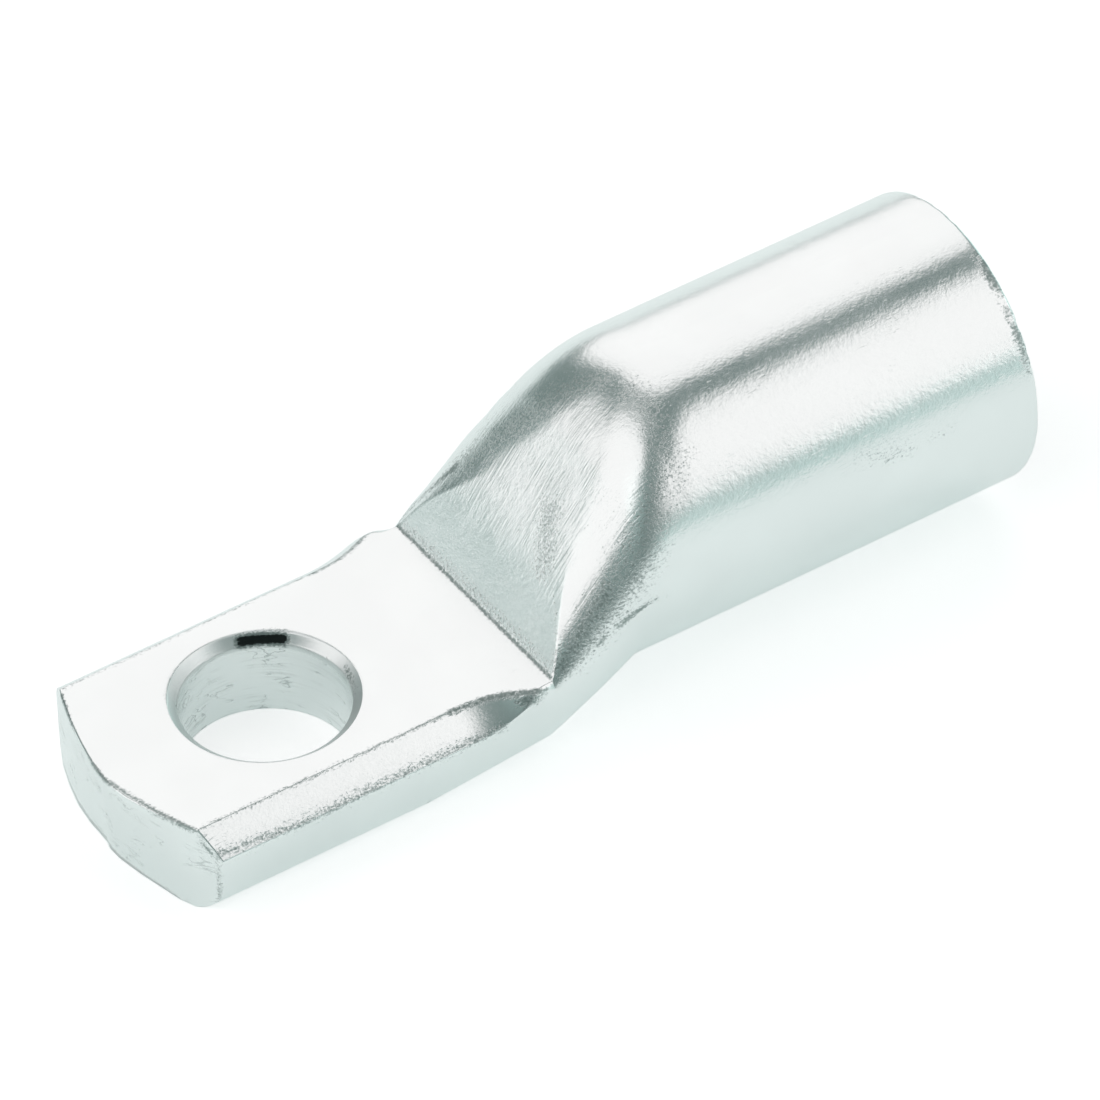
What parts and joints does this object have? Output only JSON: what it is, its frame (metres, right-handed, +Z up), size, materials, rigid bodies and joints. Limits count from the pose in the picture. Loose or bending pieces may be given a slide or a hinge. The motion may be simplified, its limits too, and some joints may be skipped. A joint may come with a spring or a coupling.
{
  "type": "ring terminal",
  "caption": "Heavy tubular compression lug: a round barrel for a stripped conductor, pressed at one end into a flat palm with a countersunk bolt hole.",
  "frame": {"origin": "on the bolt hole's axis, on the underside of the palm", "axes": "+X along the lug from the bolt hole to the open mouth of the barrel, +Y across it, +Z up out of the palm's top face"},
  "size_m": [0.0618, 0.019, 0.019],
  "materials": {
    "tinned_copper": "bright electro-tin over copper, smooth, with fine die and handling scratches"
  },
  "bodies": {
    "root": {"lug": "tinned_copper"}
  },
  "joints": []
}
